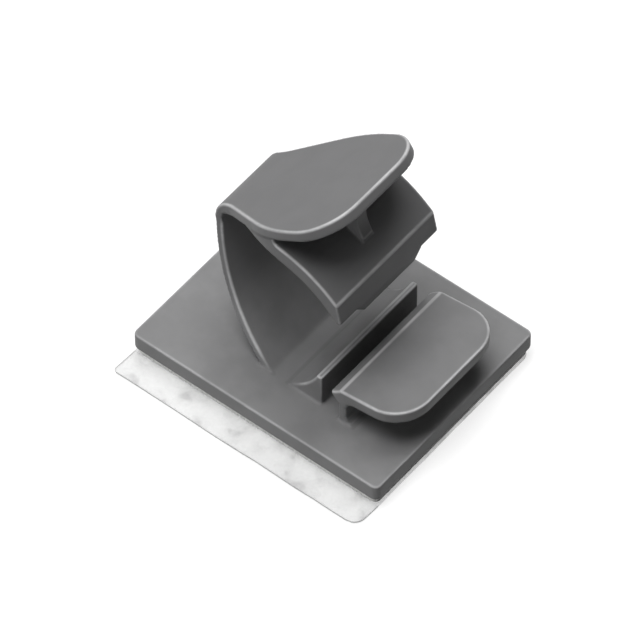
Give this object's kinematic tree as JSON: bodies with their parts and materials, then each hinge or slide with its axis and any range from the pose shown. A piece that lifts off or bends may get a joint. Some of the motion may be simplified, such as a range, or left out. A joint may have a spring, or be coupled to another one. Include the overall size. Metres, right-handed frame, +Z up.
{
  "type": "adhesive cable clip",
  "caption": "Stick-on cable clip: a springy strap that folds over a cable bundle and snaps behind the nose of a release tab, on a flat base with a foam pad",
  "frame": {"origin": "centre of the foam pad's lower face, which the liner covers until the clip is stuck down", "axes": "+Z up, away from the surface the clip is stuck to; +X from the strap's foot towards the release tab; the cables run along Y"},
  "size_m": [0.0284, 0.0258, 0.0281],
  "materials": {
    "clip": "moulded, fine satin",
    "foam": "closed-cell foam, dull",
    "liner": "thin film, slightly wrinkled"
  },
  "bodies": {
    "root": {"clip": "clip", "foam_tape": "foam", "release_liner": "liner"}
  },
  "joints": []
}
